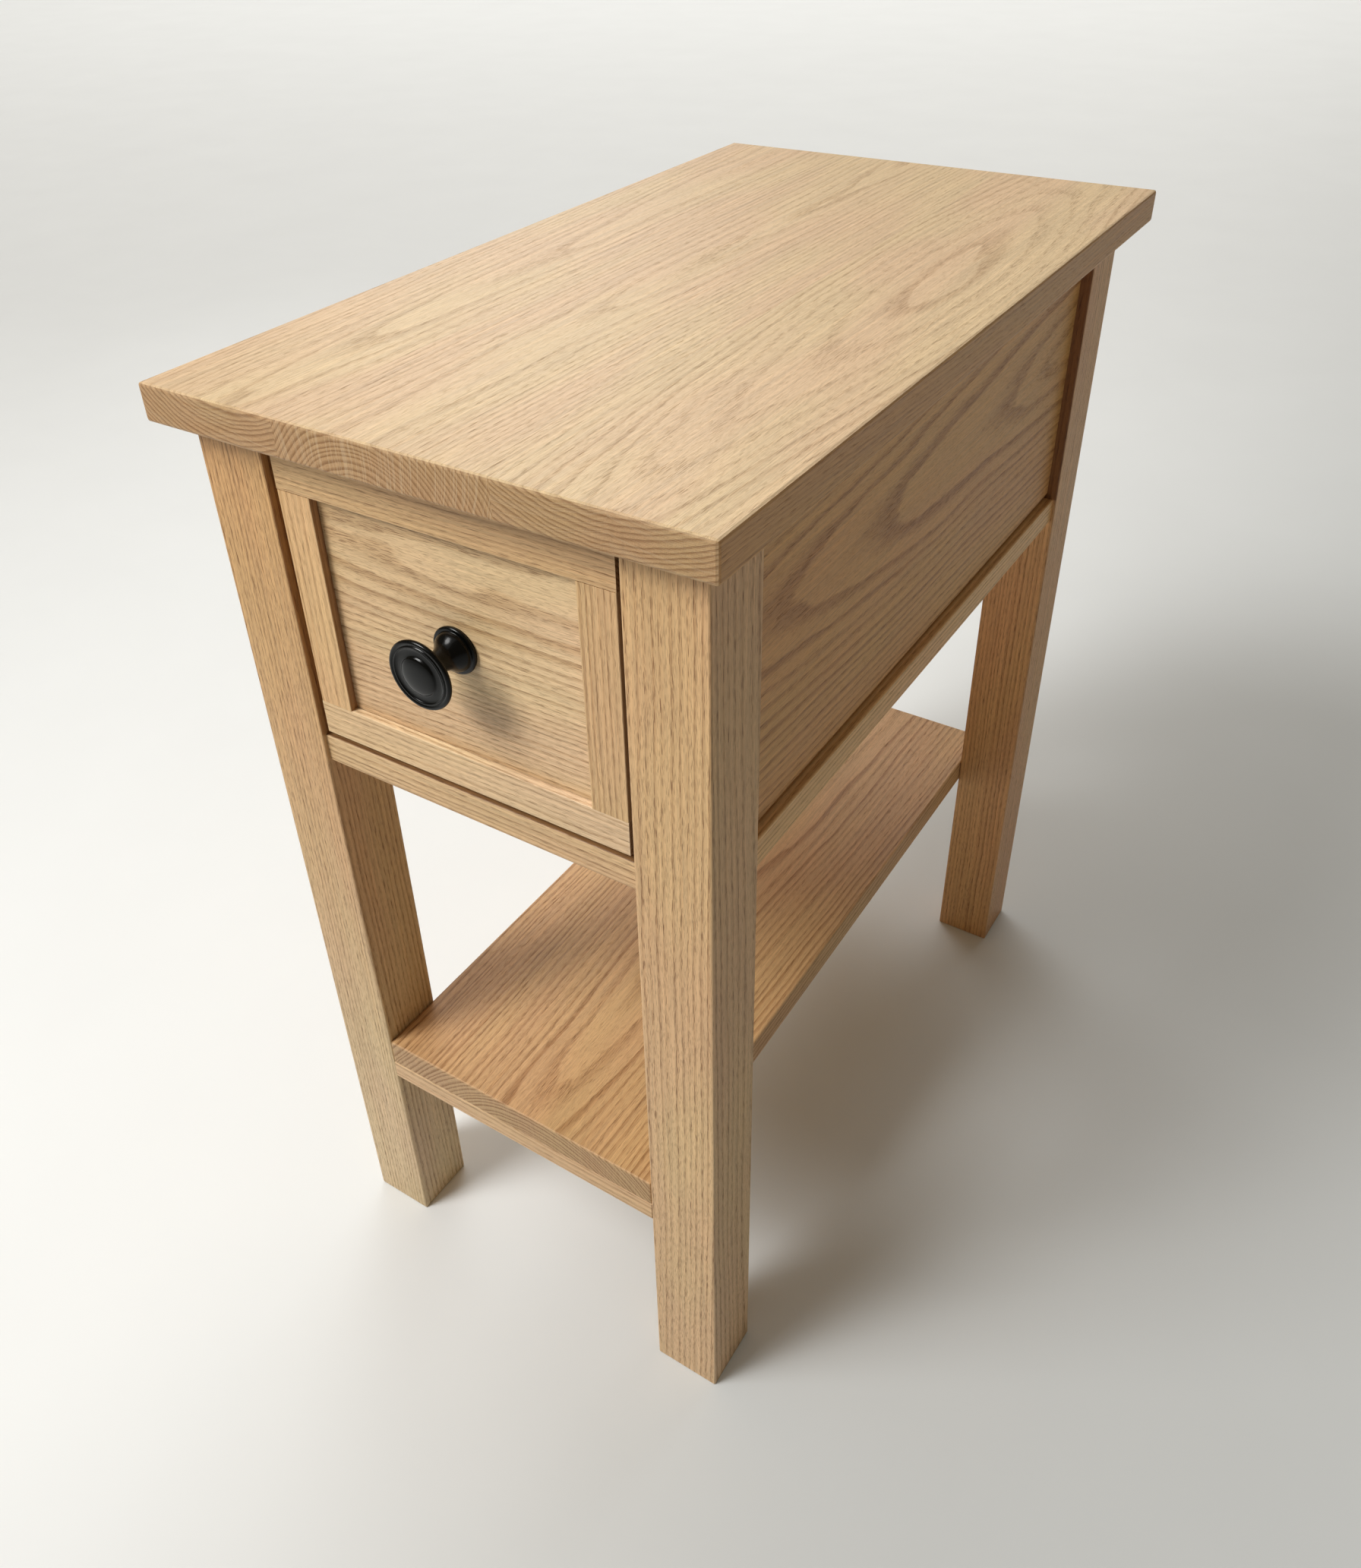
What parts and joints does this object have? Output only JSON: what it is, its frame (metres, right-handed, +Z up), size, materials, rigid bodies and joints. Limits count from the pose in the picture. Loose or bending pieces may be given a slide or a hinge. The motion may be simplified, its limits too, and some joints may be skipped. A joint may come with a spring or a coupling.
{
  "type": "side table",
  "caption": "Narrow oak side table with an inset frame-and-panel drawer, a black turned knob, square legs and a low shelf.",
  "frame": {"origin": "on the floor, under the centre of the overall box of the table with its drawer shut", "axes": "+Z up, -Y out of the drawer front, +X to the right seen from the front"},
  "size_m": [0.308, 0.5458, 0.61],
  "materials": {
    "oak_top": "satin clear lacquer on pale oak",
    "oak_frame": "satin clear lacquer on natural oak",
    "oak_shelf": "satin clear lacquer on natural oak",
    "oak_drawer_front": "satin clear lacquer on natural oak",
    "oak_inside": "unfinished sanded oak",
    "birch_ply": "sealed birch plywood",
    "black_knob": "satin black",
    "screw_steel": "zinc plated"
  },
  "bodies": {
    "table": {"tabletop_left_board": "oak_top", "tabletop_middle_board": "oak_top", "tabletop_right_board": "oak_top", "front_left_leg": "oak_frame", "front_right_leg": "oak_frame", "rear_left_leg": "oak_frame", "rear_right_leg": "oak_frame", "left_side_panel": "oak_frame", "right_side_panel": "oak_frame", "back_panel": "oak_frame", "left_side_rail": "oak_frame", "right_side_rail": "oak_frame", "back_rail": "oak_frame", "front_rail": "oak_frame", "shelf_board": "oak_shelf", "shelf_front_rail": "oak_shelf", "shelf_rear_rail": "oak_shelf", "front_top_stretcher": "oak_inside", "left_runner": "oak_inside", "right_runner": "oak_inside", "left_guide_strip": "oak_inside", "right_guide_strip": "oak_inside", "left_kicker": "oak_inside", "right_kicker": "oak_inside", "tabletop_screw_1": "screw_steel", "tabletop_screw_2": "screw_steel", "tabletop_screw_3": "screw_steel", "tabletop_screw_4": "screw_steel", "tabletop_screw_5": "screw_steel", "tabletop_screw_6": "screw_steel", "shelf_screw_1": "screw_steel", "shelf_screw_2": "screw_steel", "shelf_screw_3": "screw_steel", "shelf_screw_4": "screw_steel"},
    "drawer": {"drawer_front_top_rail": "oak_drawer_front", "drawer_front_bottom_rail": "oak_drawer_front", "drawer_front_left_stile": "oak_drawer_front", "drawer_front_right_stile": "oak_drawer_front", "drawer_front_panel": "oak_drawer_front", "drawer_box_front": "oak_inside", "drawer_left_side": "oak_inside", "drawer_right_side": "oak_inside", "drawer_back": "oak_inside", "drawer_stop_block": "oak_inside", "drawer_bottom": "birch_ply", "drawer_knob": "black_knob", "knob_screw": "screw_steel", "drawer_bottom_screw": "screw_steel", "stop_block_screw_1": "screw_steel", "stop_block_screw_2": "screw_steel"}
  },
  "joints": [
    {"name": "drawer_slide", "type": "slide", "parent": "table", "child": "drawer", "axis": [0, -1, 0], "range_m": [0, 0.352]}
  ]
}
